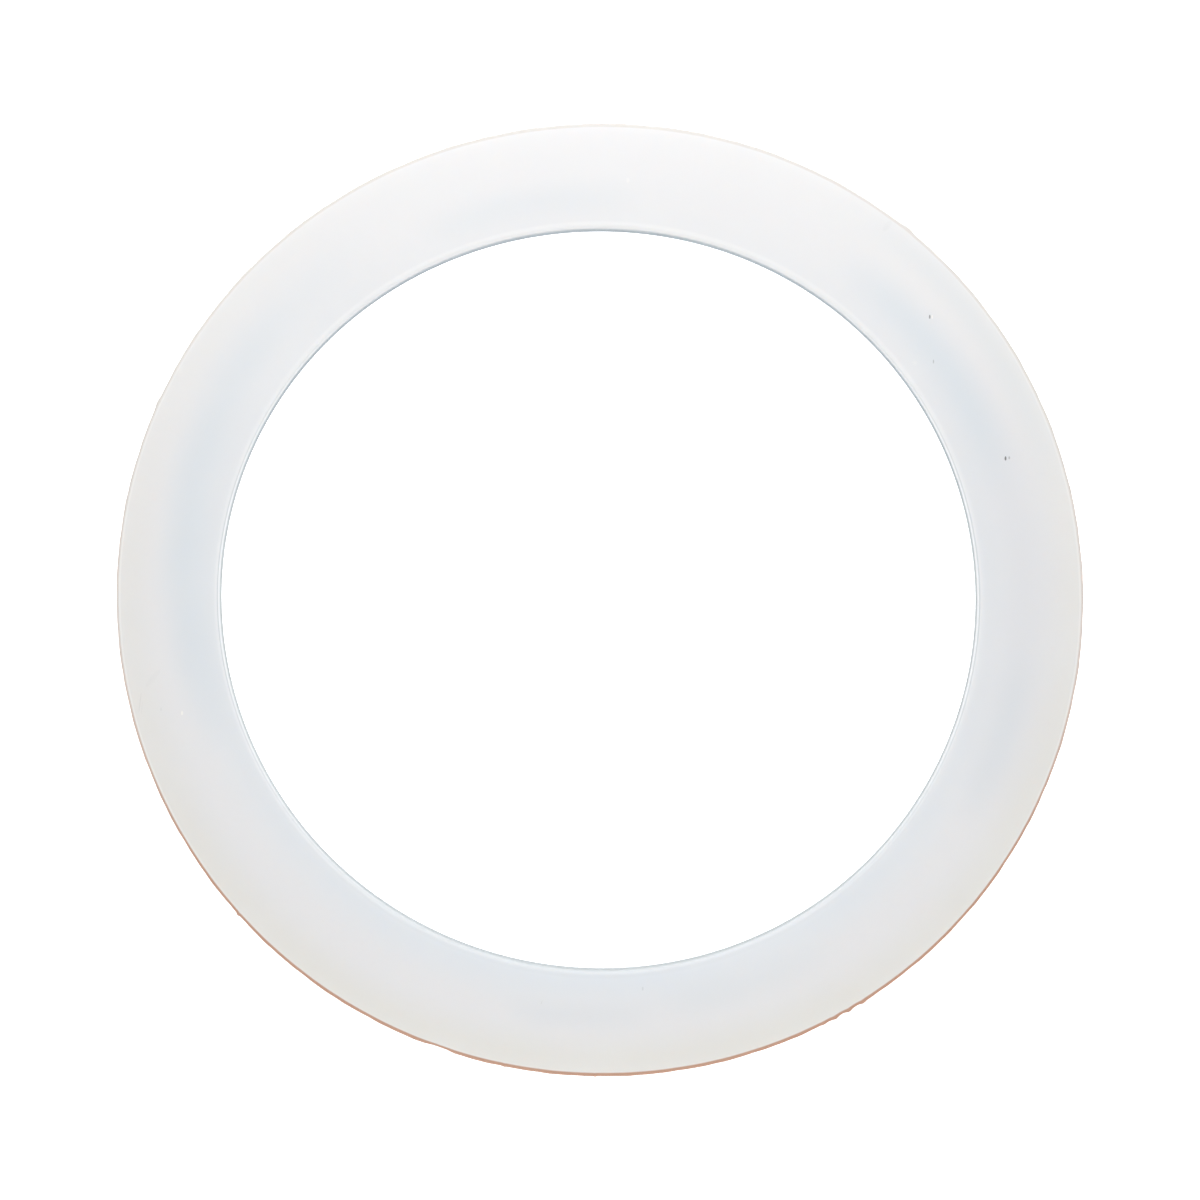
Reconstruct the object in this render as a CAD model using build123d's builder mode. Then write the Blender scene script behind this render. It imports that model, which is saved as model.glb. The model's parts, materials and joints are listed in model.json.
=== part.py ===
"""A sanitary clamp gasket for 2-1/2 in tube ferrules, moulded in one piece from
translucent silicone.

The ring lies flat. Its origin is at the centre of the bore on the parting
plane, +Z runs along the bore, and all sizes are in millimetres.
"""

import os

from build123d import *

# Driving dimensions. The bore and the width of the face are those of the clamp
# ferrule that the ring seals, and together they give its outer diameter.
bore_diameter = 60.3
face_width = 8.6

# The wall is as high as this at the bore and at the outer edge.
rim_thickness = 2.6

# Each face swells by this much to a narrow flat land, which takes the squeeze.
crown_rise = 0.2
land_width = 3.0

# The corners of the bore are well rounded, so that nothing lodges there. Those
# of the outer wall, which is trimmed after moulding, are only broken.
bore_edge_radius = 0.4
outer_edge_break = 0.15

# The trimmed line of flash that stands on the outer wall at the parting plane.
flash_proud = 0.1
flash_root_thickness = 0.3
flash_tip_thickness = 0.16

# Least height of straight wall that is left between a corner and the parting
# plane, or the flash that stands there.
least_wall = 0.1

# Places worked out from the driving dimensions.
bore_radius = bore_diameter / 2
outer_radius = bore_radius + face_width
rim_height = rim_thickness / 2
land_height = rim_height + crown_rise
land_centre = (bore_radius + outer_radius) / 2
land_start = land_centre - land_width / 2
land_end = land_centre + land_width / 2
flash_radius = outer_radius + flash_proud
flash_root = flash_root_thickness / 2
flash_tip = flash_tip_thickness / 2

# A corner can't take more height than the wall that it stands on has.
bore_edge = min(bore_edge_radius, rim_height - least_wall)
outer_edge = min(outer_edge_break, rim_height - flash_root - least_wall)

os.makedirs("parts", exist_ok=True)

with BuildPart() as gasket:
    # The ring's section. What lies above the parting plane is mirrored below
    # it, because both faces of a gasket seal alike.
    with BuildSketch(Plane.XZ) as section:
        with BuildLine():
            Line((bore_radius, -rim_height), (bore_radius, rim_height))
            land = Line((land_start, land_height), (land_end, land_height))
            inner_crown = TangentArc(
                land @ 0, (bore_radius, rim_height), tangent=(-1, 0)
            )
            outer_crown = TangentArc(
                land @ 1, (outer_radius, rim_height), tangent=(1, 0)
            )
            outer_wall = Line(outer_crown @ 1, (outer_radius, flash_root))
            flash_slope = Line(outer_wall @ 1, (flash_radius, flash_tip))
            Line((flash_radius, -flash_tip), (flash_radius, flash_tip))
            upper_half = [inner_crown, land, outer_crown, outer_wall, flash_slope]
            mirror(upper_half, about=Plane.XZ)
        make_face()
        # The two corners of the bore wall lie nearest the axis.
        fillet(section.vertices().group_by(Axis.X)[0], bore_edge)
        # Only the flash's tip stands out further than the outer wall, whose
        # end corners lie above and below the root of the flash.
        wall_corners = section.vertices().group_by(Axis.X)[-2].sort_by(Axis.Y)
        chamfer([wall_corners[0], wall_corners[-1]], outer_edge)
    revolve(axis=Axis.Z)

gasket.part.label = "gasket"
export_step(gasket.part, "parts/gasket.step")

size = gasket.part.bounding_box().size
print(f"gasket: {size.X:.2f} x {size.Y:.2f} x {size.Z:.2f} mm")
print(f"bore wall {2 * (rim_height - bore_edge):.2f} mm high")
print(f"flat land from {land_start:.2f} to {land_end:.2f} mm radius")
print(f"volume {gasket.part.volume:.0f} mm3")
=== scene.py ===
# %% [markdown]
# # A clamp gasket in translucent silicone
#
# A clamp gasket is the soft ring that seals two tube ferrules held face to face
# by a clamp. This one is milky silicone, moulded in one piece, and it lies flat
# on a pale table. The sized part is already there, so this lesson only dresses
# it. It makes a finer ring that is slightly out of round, as a soft ring is, and
# a material with the cool heart and warm rim of translucent silicone, partly
# painted in as light.

# %% Load the sized part and keep its box
import json
import math

import bmesh
import bpy
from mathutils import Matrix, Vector


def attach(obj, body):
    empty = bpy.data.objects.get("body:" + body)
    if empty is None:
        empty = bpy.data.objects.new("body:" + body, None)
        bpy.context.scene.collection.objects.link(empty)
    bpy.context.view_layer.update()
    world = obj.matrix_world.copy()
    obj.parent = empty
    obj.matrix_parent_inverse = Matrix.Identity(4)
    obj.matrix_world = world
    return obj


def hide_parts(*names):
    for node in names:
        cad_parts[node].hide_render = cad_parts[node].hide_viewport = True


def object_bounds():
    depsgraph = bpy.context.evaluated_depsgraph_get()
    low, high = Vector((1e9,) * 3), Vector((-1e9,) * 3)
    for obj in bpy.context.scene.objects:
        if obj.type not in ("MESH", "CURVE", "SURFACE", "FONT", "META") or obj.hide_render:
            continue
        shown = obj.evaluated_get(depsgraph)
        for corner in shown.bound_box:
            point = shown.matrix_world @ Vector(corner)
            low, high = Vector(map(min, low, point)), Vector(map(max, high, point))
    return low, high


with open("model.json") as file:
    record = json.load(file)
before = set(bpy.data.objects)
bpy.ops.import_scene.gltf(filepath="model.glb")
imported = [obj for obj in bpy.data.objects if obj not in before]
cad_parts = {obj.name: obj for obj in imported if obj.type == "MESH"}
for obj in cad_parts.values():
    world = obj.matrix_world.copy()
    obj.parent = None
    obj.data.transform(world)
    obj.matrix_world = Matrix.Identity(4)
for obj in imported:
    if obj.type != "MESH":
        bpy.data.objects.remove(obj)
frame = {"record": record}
cad_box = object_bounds()
print("sized part, in metres:", [round(side, 5) for side in cad_box[1] - cad_box[0]])

# %% [markdown]
# ## The sizes that the ring is made from
#
# The bore, the two sealing faces and the outermost edge are read from the sized
# part, so that the dressed ring can't drift away from it. Only small things that
# the part's record doesn't name, such as the rounding of a corner, are given
# here. Everything is in metres, and `mm` keeps the numbers readable.

# %% Sizes read from the part, and the small ones that belong to its section
mm = 0.001
mounts = {mount["name"]: mount for mount in frame["record"]["mounts"]}
bore_radius = mounts["bore"]["dims"]["r_mm"] * mm
bore_wall_height = mounts["bore"]["dims"]["length_mm"] * mm
land_height = mounts["upper_face"]["pos_m"][2]
land_centre = mounts["upper_face"]["pos_m"][0]
table_height = cad_box[0].z

crown_rise = 0.2 * mm
land_half_width = 1.5 * mm
land_rounding = 1.2 * mm
flash_proud = 0.1 * mm
flash_half_root = 0.15 * mm
flash_half_tip = 0.08 * mm

outer_radius = 2 * land_centre - bore_radius
face_width = outer_radius - bore_radius
rim_height = land_height - crown_rise
bore_rounding = rim_height - bore_wall_height / 2
outer_break = 0.15 * mm
print(f"bore {bore_radius / mm:.2f} mm, outer wall {outer_radius / mm:.2f} mm radius")

# %% [markdown]
# ## The section: the upper half drawn, the rest mirrored
#
# A mould for such a ring closes at mid-height, so the ring's section is the same
# above and below the parting plane. It could be drawn whole, but drawing the
# upper half and mirroring it means that each corner is placed once. The chain of
# vertices runs from the parting line in the bore, over the swollen sealing face,
# to the thin line of flash that trimming leaves on the outer wall.

# %% Draw the upper half of the section and mirror it
parting_proud = 0.03 * mm
parting_half_height = 0.08 * mm
least_gap = 0.0005 * mm

upper_half = [
    (bore_radius - parting_proud, 0),
    (bore_radius, parting_half_height),
    (bore_radius, rim_height),
    (land_centre - land_half_width, land_height),
    (land_centre + land_half_width, land_height),
    (outer_radius, rim_height),
    (outer_radius, flash_half_root),
    (outer_radius + flash_proud, flash_half_tip),
    (outer_radius + flash_proud, 0),
]

ring = bmesh.new()
chain = [ring.verts.new((radius, 0, height)) for radius, height in upper_half]
for start, end in zip(chain, chain[1:]):
    ring.edges.new((start, end))
bmesh.ops.mirror(ring, geom=ring.verts[:] + ring.edges[:], axis="Z", merge_dist=least_gap)
section = bmesh.ops.contextual_create(ring, geom=ring.edges[:])["faces"]
print(len(ring.verts), "corners in the section,", len(section), "face")

# %% [markdown]
# ## Rounded corners
#
# The corners at the bore are well rounded, the trimmed outer corners are only
# broken, and the face swells to its flat land so gently that the bend can't be
# seen as a line. All three are the same tool, a bevel of vertices: only its
# size and its number of segments differ. A profile of 0.5 makes it round.

# %% Round the three kinds of corner
def corners_at(radius, height):
    """The corners of the section at that radius, above and below the parting plane."""
    reach = 0.01 * mm
    return [
        corner
        for corner in ring.verts
        if abs(corner.co.x - radius) < reach and abs(abs(corner.co.z) - height) < reach
    ]


def round_off(corners, size, segments):
    """Rounds corners of the section, starting that far from each."""
    bmesh.ops.bevel(
        ring,
        geom=corners,
        offset=size,
        offset_type="OFFSET",
        segments=segments,
        profile=0.5,
        affect="VERTICES",
        material=-1,
    )


round_off(corners_at(bore_radius, rim_height), bore_rounding, 10)
round_off(corners_at(outer_radius, rim_height), outer_break, 4)
for land_edge in (land_centre - land_half_width, land_centre + land_half_width):
    round_off(corners_at(land_edge, land_height), land_rounding, 6)
print(len(ring.verts), "corners after rounding")

# %% [markdown]
# ## One turn about the bore
#
# The section becomes a ring by one full spin, as the mould's cavity was turned
# on a lathe. `use_merge` closes the last step on the first, because without it
# a seam of doubled vertices would stay. There are three steps to a degree, so
# that the nicks of the trimmed edge, some as short as half a millimetre, show.

# %% Divide the long stretches, then spin the section
longest_stretch = 0.5 * mm
long_edges = [edge for edge in ring.edges if edge.calc_length() > longest_stretch]
bmesh.ops.subdivide_edges(ring, edges=long_edges, cuts=2)

spin_steps = 1080
bmesh.ops.delete(ring, geom=ring.faces[:], context="FACES_ONLY")
bmesh.ops.spin(
    ring,
    geom=ring.verts[:] + ring.edges[:],
    cent=(0, 0, 0),
    axis=(0, 0, 1),
    dvec=(0, 0, 0),
    angle=2 * math.pi,
    steps=spin_steps,
    use_merge=True,
)
bmesh.ops.remove_doubles(ring, verts=ring.verts[:], dist=least_gap)
bmesh.ops.recalc_face_normals(ring, faces=ring.faces[:])
print(len(ring.faces), "faces after the spin")

# %% [markdown]
# ## Where each point lies across the section
#
# The colours of the silicone follow the ring, and soon the ring won't be quite
# round. So each vertex first stores where it lies in the true section: `across`
# runs from 0 at the bore to 1 at the outer wall. The material reads it later.

# %% Store the place across the section on every vertex
across_layer = ring.verts.layers.float.new("across")
for point in ring.verts:
    radius = math.hypot(point.co.x, point.co.y)
    point[across_layer] = (radius - bore_radius) / face_width
print("across runs to", round(max(point[across_layer] for point in ring.verts), 3))

# %% [markdown]
# ## A soft ring is never quite round
#
# Silicone this thin takes a set from how it was packed, so the ring lies a
# little wider than it is deep, the bore more so than the outer edge, with a slow
# wobble on top. Each vertex moves along its own radius, and how far depends on
# its direction and on its place across the section.

# %% Move the ring to its resting shape
def mix(low, high, share):
    """The value that lies that share of the way from low to high."""
    return low + (high - low) * share


def smooth_step(low, high, value):
    """0 below low, 1 above high and a smooth rise between them."""
    share = min(max((value - low) / (high - low), 0), 1)
    return share * share * (3 - 2 * share)


bore_ease = 0.0035
bore_shift = 0.12 * mm
waves = [
    # (lobes, depth at the bore, depth at the rim, turn in radians)
    (2, 0.0118, 0.0074, 0.19),
    (3, 0.0020, 0.0019, -2.5),
    (4, 0.0010, 0.0017, 2.83),
]


def resting_stretch(angle, across):
    """How far the ring is stretched along its radius, as a share of the radius."""
    stretch = mix(bore_ease, 0, across)
    for lobes, bore_depth, rim_depth, turn in waves:
        depth = mix(bore_depth, rim_depth, across)
        stretch += depth * math.cos(lobes * angle + turn)
    return stretch


for point in ring.verts:
    angle = math.atan2(point.co.y, point.co.x)
    across = min(point[across_layer], 1)
    stretch = 1 + resting_stretch(angle, across)
    point.co.x = point.co.x * stretch - mix(bore_shift, 0, across)
    point.co.y *= stretch
widest = max(point.co.x for point in ring.verts) - min(point.co.x for point in ring.verts)
print(f"the resting ring is {widest / mm:.2f} mm wide")

# %% [markdown]
# ## The trimmed edge
#
# After moulding, the flash is cut away by hand. Most of the edge is left clean,
# but the blade starts and stops: there are short steps where a sliver of flash
# was left, and flats where it cut into the wall. Each mark is a direction, how
# much of the edge it takes and how far it stands out or in, so a list of a few
# numbers is enough, and one function applies them all.

# %% Cut the flash unevenly
trim_marks = [
    # (direction, half length, height), in degrees, degrees and mm
    (297.8, 0.35, 0.05),
    (299.3, 0.45, 0.09),
    (300.2, 0.35, -0.04),
    (301.1, 0.5, 0.1),
    (302.2, 0.35, -0.04),
    (303.1, 0.4, 0.09),
    (50.3, 1.1, 0.12),
    (221.0, 0.3, 0.09),
    (250.3, 2.2, -0.1),
    (269.4, 0.3, 0.05),
    (258.3, 0.35, 0.05),
    (98.0, 0.4, 0.05),
    (156.0, 0.8, 0.05),
]
ragged_waves = [(37, 0.012, 0.3), (83, 0.009, 1.9), (151, 0.006, 4.0)]


def trim_height(angle):
    """How far the cut stands out from the true edge at that direction."""
    height = sum(depth * math.sin(count * angle + turn) for count, depth, turn in ragged_waves)
    for direction, half_length, depth in trim_marks:
        apart = math.degrees(angle) - direction
        apart = abs((apart + 180) % 360 - 180)
        height += depth * (1 - smooth_step(0.3 * half_length, half_length, apart))
    return height * mm


trim_from = 0.97
for point in ring.verts:
    reach = smooth_step(trim_from, 1, point[across_layer])
    if reach > 0:
        angle = math.atan2(point.co.y, point.co.x)
        out = Vector((point.co.x, point.co.y, 0)).normalized()
        point.co += out * trim_height(angle) * reach
print(len(trim_marks), "marks cut into the edge")

# %% [markdown]
# ## Make the piece and let it stand for the sized one
#
# The finished mesh goes into one object at the origin. It rides on the part's
# only body and replaces the plain ring, which stays in the physics model.

# %% Turn the ring into an object
ring_mesh = bpy.data.meshes.new("gasket_ring")
ring.to_mesh(ring_mesh)
ring.free()
ring_mesh.shade_smooth()
gasket_ring = bpy.data.objects.new("gasket_ring", ring_mesh)
bpy.context.scene.collection.objects.link(gasket_ring)
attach(gasket_ring, "root")
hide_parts("gasket")
print(len(ring_mesh.polygons), "faces in the finished ring")

# %% [markdown]
# ## Shader maths as plain expressions
#
# The silicone's colour is worked out from where a point lies. Adding Math nodes
# one by one hides such a formula, so this small class wraps a socket and lets
# `a * b + 0.5` add the nodes. Colours need a Mix node, which has its own method,
# and any other node comes from `node`.

# %% A socket that can be calculated with
class Value:
    """A number, vector or colour in a material's node tree."""

    def __init__(self, tree, socket):
        self.tree = tree
        self.socket = socket

    def node(self, kind, settings=None, output=0, **sockets):
        """Adds a node, sets it up, feeds its sockets and returns its output."""
        made = self.tree.nodes.new(kind)
        for name, setting in (settings or {}).items():
            setattr(made, name, setting)
        for name, value in sockets.items():
            place = int(name[1:]) if name[1:].isdigit() else name.replace("_", " ")
            feed(self.tree, made.inputs[place], value)
        return Value(self.tree, made.outputs[output])

    def math(self, operation, *values):
        sockets = {f"i{place}": value for place, value in enumerate(values)}
        return self.node("ShaderNodeMath", {"operation": operation}, **sockets)

    def __add__(self, other):
        return self.math("ADD", self, other)

    def __radd__(self, other):
        return self.math("ADD", other, self)

    def __sub__(self, other):
        return self.math("SUBTRACT", self, other)

    def __rsub__(self, other):
        return self.math("SUBTRACT", other, self)

    def __mul__(self, other):
        return self.math("MULTIPLY", self, other)

    def __rmul__(self, other):
        return self.math("MULTIPLY", other, self)

    def __truediv__(self, other):
        return self.math("DIVIDE", self, other)

    def __neg__(self):
        return 0 - self

    def __abs__(self):
        return self.math("ABSOLUTE", self)

    def step(self, low, high):
        """0 below low, 1 above high and a smooth rise between them."""
        settings = {"interpolation_type": "SMOOTHSTEP"}
        return self.node("ShaderNodeMapRange", settings, Value=self, From_Min=low, From_Max=high)

    def blend(self, other, share):
        """This colour, turned into the other one by a share from 0 to 1."""
        settings = {"data_type": "RGBA"}
        return self.node("ShaderNodeMix", settings, 2, i0=share, i6=self, i7=other)


def feed(tree, socket, value):
    """Links a Value to a socket, or writes a plain number or colour on it."""
    if isinstance(value, Value):
        tree.links.new(value.socket, socket)
    else:
        socket.default_value = value


# %% [markdown]
# ## What the silicone's colour follows
#
# Translucent silicone scatters blue light back and lets warm light through. So
# the ring looks cool where much of it lies under the surface, towards the bore,
# and warm along its outer third, where light leaks out at the side. Both show
# best at the front, away from the main light, and here both are painted into the
# colour, partly as the silicone's tone and partly as painted light. The material
# needs three things for that: the place across the section, the direction round
# the ring and the height above the parting plane.

# %% Start the silicone and find out where each point lies
silicone = bpy.data.materials.new("milky_silicone")
silicone.use_nodes = True
tree = silicone.node_tree
shader = tree.nodes["Principled BSDF"]
surface = Value(tree, None)


def colour(red, green, blue):
    """A colour given as it looks on a screen, from 0 to 255, for a shader."""

    def linear(channel):
        share = channel / 255
        return share / 12.92 if share <= 0.04045 else ((share + 0.055) / 1.055) ** 2.4

    return (linear(red), linear(green), linear(blue), 1)


def plain(shade):
    """A plain colour as a Value, so that others can be blended over it."""
    red, green, blue, _ = shade
    return surface.node("ShaderNodeCombineColor", Red=red, Green=green, Blue=blue)


place = surface.node("ShaderNodeTexCoord", output="Object")
across = surface.node("ShaderNodeAttribute", {"attribute_name": "across"}, output="Fac")
x, y, z = (surface.node("ShaderNodeSeparateXYZ", output=axis, Vector=place) for axis in range(3))
to_back = y / outer_radius
end_on = to_back * to_back
side_on = (1 - end_on) * (1 - end_on)
height = abs(z) / rim_height
print(len(tree.nodes), "nodes find the place of a point")

# %% [markdown]
# ## Cool heart, warm rim
#
# The body starts as one pale grey. A cool tone is blended in towards the bore
# and a warm one towards the rim, partly the silicone's tone and partly painted
# light, each painted stronger at the front, away from the main light. At the two
# sides the part next to the bore is darkened with painted shade. All are faint:
# the eye reads them as depth, not as colours.

# %% Mix the body colour
body = plain(colour(234, 234, 235))
# painted light: a cool scattered tint towards the bore, stronger at the front
painted_cool_scatter = (1 - across.step(0.04, 0.5)) * (0.5 - 0.5 * to_back)
body = body.blend(colour(228, 233, 238), painted_cool_scatter)
# painted shade at the two sides, next to the bore
side_shade = (1 - across.step(0.06, 0.3)) * side_on
body = body.blend(colour(220, 223, 226), side_shade * 0.35)
# painted light: a warm glow towards the rim, stronger at the front
painted_warm_glow = across.step(0.5, 0.95) * (0.62 - 0.62 * to_back)
body = body.blend(colour(232, 231, 227), painted_warm_glow)
print(len(tree.nodes), "nodes with the body colour")

# %% [markdown]
# ## Clouds in the silicone
#
# Silicone flows round the mould and never mixes quite evenly, so it has soft
# clouds drawn out along the ring. A wide, faint noise gives the even ones. The
# bluer and greyer ones are listed one by one: each fades out both along the
# ring, by how far its direction is from the point's, and across it.

# %% Blend the clouds in
clouds = surface.node("ShaderNodeTexNoise", Vector=place, Scale=90.0, Detail=3.0, Roughness=0.55)
body = body.blend(colour(238, 239, 240), clouds.step(0.45, 0.75) * 0.2)

blue, grey = colour(216, 224, 230), colour(221, 223, 227)
drawn_clouds = [
    # (colour, direction, half angle, place across, half width, strength)
    (grey, 4, 40, 0.4, 0.5, 0.5),
    (blue, 35, 22, 0.37, 0.3, 0.6),
    (blue, 35, 24, 0.85, 0.2, 0.25),
    (blue, 100, 18, 0.3, 0.25, 0.25),
    (blue, 139, 18, 0.45, 0.36, 0.2),
    (blue, 153, 18, 0.46, 0.36, 0.32),
    (blue, 166, 18, 0.38, 0.34, 0.42),
    (blue, 179, 17, 0.32, 0.34, 0.38),
    (blue, 190, 13, 0.26, 0.3, 0.35),
    (blue, 267, 12, 0.44, 0.2, 0.25),
    (blue, 291, 16, 0.38, 0.25, 0.2),
    (blue, 341, 14, 0.45, 0.25, 0.3),
]
from_axis = surface.math("SQRT", x * x + y * y)
for cloud_colour, direction, half_angle, share, half_width, strength in drawn_clouds:
    turn = math.radians(direction)
    towards = (x * math.cos(turn) + y * math.sin(turn)) / from_axis
    along = towards.step(math.cos(math.radians(half_angle)), 1)
    aside = 1 - abs(across - share).step(0, half_width)
    body = body.blend(cloud_colour, along * aside * strength)
print(len(drawn_clouds), "clouds drawn out along the ring")

# %% [markdown]
# ## The edge of the bore
#
# At the bore the rounded corner is thin enough for the table to shine through,
# and that light is painted as a pale band, wider at the back and the front; at
# the front the corner also gets painted shade. At the sides a fine grey line is
# painted along it. Below the corner the wall of the bore lies in its own shade,
# which is painted slate blue. Bands like these could be separate materials on
# rings of faces, but soft steps of `across` let them fade.

# %% Colour the bore
corner = across.step(0.0, 0.012) * (1 - (across - 0.04 * end_on).step(0.035, 0.06))
# painted light: a pale band where the table shines through the corner
body = body.blend(colour(247, 247, 246), corner * (0.15 + 0.15 * to_back))
# painted shade on the bore's corner, at the front only
body = body.blend(colour(196, 202, 206), corner * (0.03 - 0.09 * to_back))
# a fine grey line painted on the bore's corner at the two sides
side_corner_line = across.step(0.008, 0.015) * (1 - across.step(0.019, 0.026))
body = body.blend(colour(184, 190, 194), side_corner_line * side_on * side_on * 0.55)
back = to_back.step(-0.1, 0.5)
foot_top = z / rim_height + 0.15 * side_on - 0.2 * end_on
bore_foot = (1 - across.step(0.0, 0.01 + 0.016 * end_on)) * (1 - foot_top.step(0.5, 1.0))
# painted shade: the lower wall of the bore, darker and bluer at the back
painted_bore_shade = plain(colour(127, 137, 140)).blend(colour(126, 140, 149), back)
body = body.blend(painted_bore_shade, bore_foot * (0.74 + 0.18 * back))
print(len(tree.nodes), "nodes with the edge of the bore")

# %% [markdown]
# ## The trimmed edge
#
# The outer wall is painted a shade darker than the faces, as painted shade, so
# that the ring stands out from the table when it is seen from the side. Its two
# corners were cut with a blade. Light that has crossed the ring leaves there,
# and that light is painted on the cut: amber at the front, where least other
# light falls on it and the cut is darkened with painted shade, and tan at the
# back. At the two sides of the ring a painted highlight lies on the face just
# inside the cut.

# %% Colour the trimmed edge
# painted highlight just inside the cut, at the two sides
painted_edge_highlight = across.step(0.952, 0.964) * (1 - across.step(0.97, 0.98))
body = body.blend(colour(248, 247, 244), painted_edge_highlight * side_on * 0.4)
# painted shade on the outer wall, below the cut
painted_wall_shade = across.step(0.98, 0.995) * (1 - height.step(0.6, 0.8))
body = body.blend(colour(203, 201, 196), painted_wall_shade * 0.7)
cut_edge = (across + 0.013 * end_on).step(0.971, 0.985) * height.step(0.6, 0.8)
front = (-to_back).step(0.0, 0.6)
# painted light on the cut, amber and darkened with painted shade at the front, tan at the back
painted_cut_light_and_shade = plain(colour(192, 176, 156)).blend(colour(184, 132, 102), (-to_back).step(-0.5, 0.2))
body = body.blend(painted_cut_light_and_shade, cut_edge * (0.3 + 0.54 * front))
print(len(tree.nodes), "nodes with the trimmed edge")

# %% [markdown]
# ## Specks and scratches
#
# A ring that has been handled carries a few specks of dirt moulded in and some
# fine scratches, and one pale mark is a painted glint beside a speck. Each mark
# is a slim ellipse, given by its two ends: a point lies in it if going by way of
# both ends is hardly longer than going straight. With both ends in one place it
# is a round speck. The marks are only on the upper face.

# %% Blend the marks in
flat_place = surface.node("ShaderNodeCombineXYZ", X=x, Y=y)
upper_side = z.step(0, rim_height)


def way_to(right, back):
    """How far the point lies from that place on the face, given in mm."""
    settings = {"operation": "DISTANCE"}
    end = (right * mm, back * mm, 0)
    return surface.node("ShaderNodeVectorMath", settings, "Value", i0=flat_place, i1=end)


dirt = colour(70, 66, 62)
fleck_and_glint = colour(255, 253, 246)
smear = colour(196, 197, 198)
marks = [
    # (start, end, half width, colour, strength), in mm to the right and to the back
    ((26.5, 22.6), (26.5, 22.9), 0.09, dirt, 0.65),
    # painted highlight: a glint beside the dark speck
    ((26.7, 22.6), (26.7, 22.9), 0.07, fleck_and_glint, 0.7),
    ((26.8, 19.0), (26.8, 19.3), 0.07, dirt, 0.3),
    ((25.3, 19.0), (25.3, 19.1), 0.3, fleck_and_glint, 0.12),
    ((32.6, 11.2), (32.6, 11.5), 0.11, dirt, 0.8),
    ((32.9, 11.3), (32.9, 11.5), 0.1, dirt, 0.35),
    ((-33.7, -9.3), (-33.7, -9.0), 0.11, fleck_and_glint, 0.65),
    ((-35.4, -9.0), (-35.4, -8.7), 0.06, dirt, 0.1),
    ((3.4, -31.5), (3.4, -31.2), 0.07, dirt, 0.16),
    ((-4.8, -32.6), (-4.7, -32.3), 0.06, dirt, 0.08),
    ((-37.2, -9.1), (-37.0, -7.5), 0.07, dirt, 0.06),
    ((-37.0, -9.3), (-36.9, -8.2), 0.05, dirt, 0.04),
    ((-36.6, -7.0), (-35.5, -5.7), 0.3, smear, 0.06),
    ((22.8, 29.7), (23.4, 30.5), 0.3, smear, 0.08),
    ((2.2, 33.6), (2.2, 33.9), 0.2, fleck_and_glint, 0.2),
]
for start, end, half_width, mark_colour, strength in marks:
    length = math.dist(start, end)
    longest_way = 2 * math.hypot(length / 2, half_width)
    way = way_to(*start) + way_to(*end)
    inside = 1 - way.step(length * mm, longest_way * mm)
    body = body.blend(mark_colour, inside * upper_side * strength)
print(len(marks), "specks and scratches")

# %% [markdown]
# ## Gloss and grain
#
# The mould's faces were blasted, so the ring has a satin skin: rough enough to
# blur every reflection, with a fine grain that a low bump gives. Scattering
# under the skin is a constant on the shader's own socket.

# %% Finish the silicone
grain = surface.node("ShaderNodeTexNoise", Vector=place, Scale=9000.0, Detail=2.0)
relief = surface.node("ShaderNodeBump", Height=grain, Strength=0.08, Distance=0.02 * mm)
feed(tree, shader.inputs["Base Color"], body)
feed(tree, shader.inputs["Roughness"], 0.42 + clouds * 0.12)
feed(tree, shader.inputs["Normal"], relief)
shader.inputs["IOR"].default_value = 1.41
shader.inputs["Subsurface Weight"].default_value = 0.35
shader.inputs["Subsurface Radius"].default_value = (1.0, 0.9, 0.8)
shader.inputs["Subsurface Scale"].default_value = 1.5 * mm
gasket_ring.data.materials.append(silicone)
print(len(tree.nodes), "nodes in", silicone.name)

# %% [markdown]
# ## The table
#
# The ring lies on a plain white table. The table glows a little, like a light
# table, so that it stays white up to the ring's edge and the ring throws hardly
# any shadow on it. It belongs to the stage, not to the part.

# %% Lay the table
table = bmesh.new()
table_half_width = 3.0
bmesh.ops.create_grid(table, x_segments=1, y_segments=1, size=table_half_width)
bmesh.ops.translate(table, verts=table.verts[:], vec=(0, 0, table_height))
table_mesh = bpy.data.meshes.new("table_top")
table.to_mesh(table_mesh)
table.free()
table_top = bpy.data.objects.new("table_top", table_mesh)
bpy.context.scene.collection.objects.link(table_top)

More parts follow.
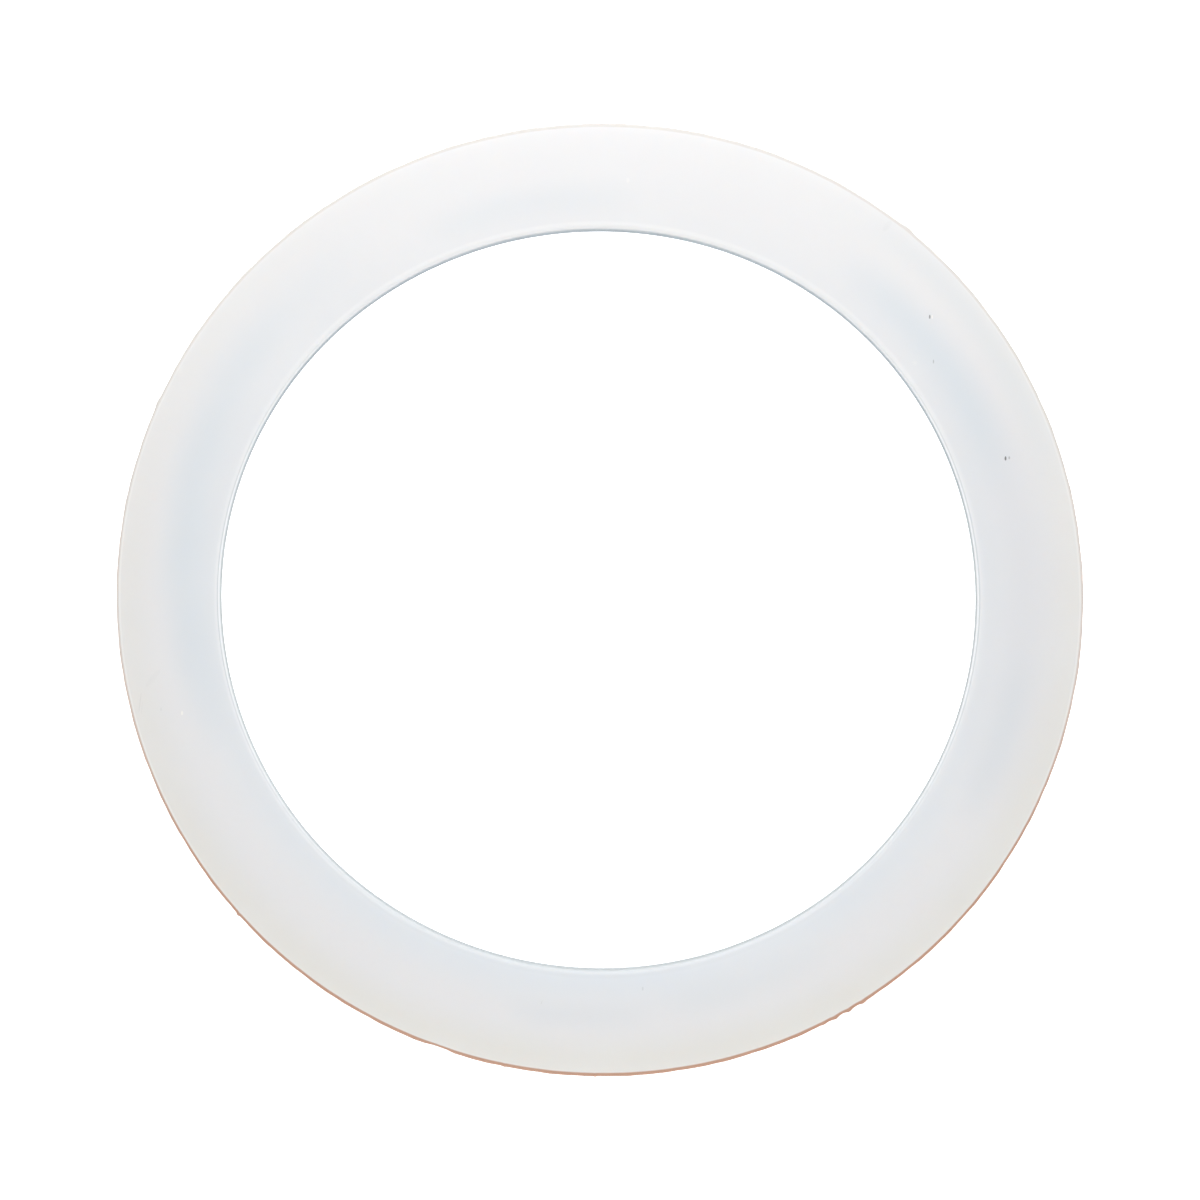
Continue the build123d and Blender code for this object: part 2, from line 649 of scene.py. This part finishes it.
table_white = bpy.data.materials.new("table_white")
table_white.use_nodes = True
table_shader = table_white.node_tree.nodes["Principled BSDF"]
table_shader.inputs["Base Color"].default_value = (0.95, 0.95, 0.95, 1)
table_shader.inputs["Roughness"].default_value = 0.9
table_shader.inputs["Specular IOR Level"].default_value = 0.0
table_shader.inputs["Emission Color"].default_value = (1, 1, 1, 1)
table_shader.inputs["Emission Strength"].default_value = 0.8
table_mesh.materials.append(table_white)
print(f"table at {table_height / mm:.2f} mm")

# %% [markdown]
# ## The light
#
# The main light is a soft one behind and above the ring, so the back of the ring
# is the brightest part. A weaker one at the front keeps the bore's corner from
# going flat, and the rest is even white light from all round, as in a light
# tent.

# %% Hang the lights
def softbox(name, position, size, power):
    """A square area light that faces the middle of the ring."""
    lamp = bpy.data.lights.new(name, "AREA")
    lamp.size = size
    lamp.energy = power
    light = bpy.data.objects.new(name, lamp)
    light.location = position
    light.rotation_euler = (-Vector(position)).to_track_quat("-Z", "Y").to_euler()
    bpy.context.scene.collection.objects.link(light)
    return light


softbox("back_softbox", (0, 0.1, 0.15), 0.12, 0.2)
softbox("front_softbox", (0, -0.12, 0.11), 0.12, 0.07)

room = bpy.data.worlds.new("light_tent")
room.use_nodes = True
tent = room.node_tree.nodes["Background"]
tent.inputs["Color"].default_value = (1, 1, 1, 1)
tent.inputs["Strength"].default_value = 0.4
bpy.context.scene.world = room
bpy.context.scene.view_settings.view_transform = "Standard"
bpy.context.scene.view_settings.look = "None"
print("two softboxes in a light tent of strength", round(tent.inputs["Strength"].default_value, 2))

# %% [markdown]
# ## The camera
#
# The camera hangs over the bore, a hair off its middle, and far enough away for
# only a thin line of the bore's wall to show. Its angle follows from that
# distance and from the width of table that the picture takes in.

# %% Hang the camera
camera_height = 300 * mm
picture_width = 97.1 * mm
off_middle = -0.05 * mm
camera = bpy.data.cameras.new("overhead_camera")
camera.angle = 2 * math.atan(picture_width / 2 / camera_height)
camera.clip_start = 10 * mm
overhead = bpy.data.objects.new("overhead_camera", camera)
overhead.location = (off_middle, off_middle, camera_height)
bpy.context.scene.collection.objects.link(overhead)
bpy.context.scene.camera = overhead
print(f"the camera sees {math.degrees(camera.angle):.1f} degrees")
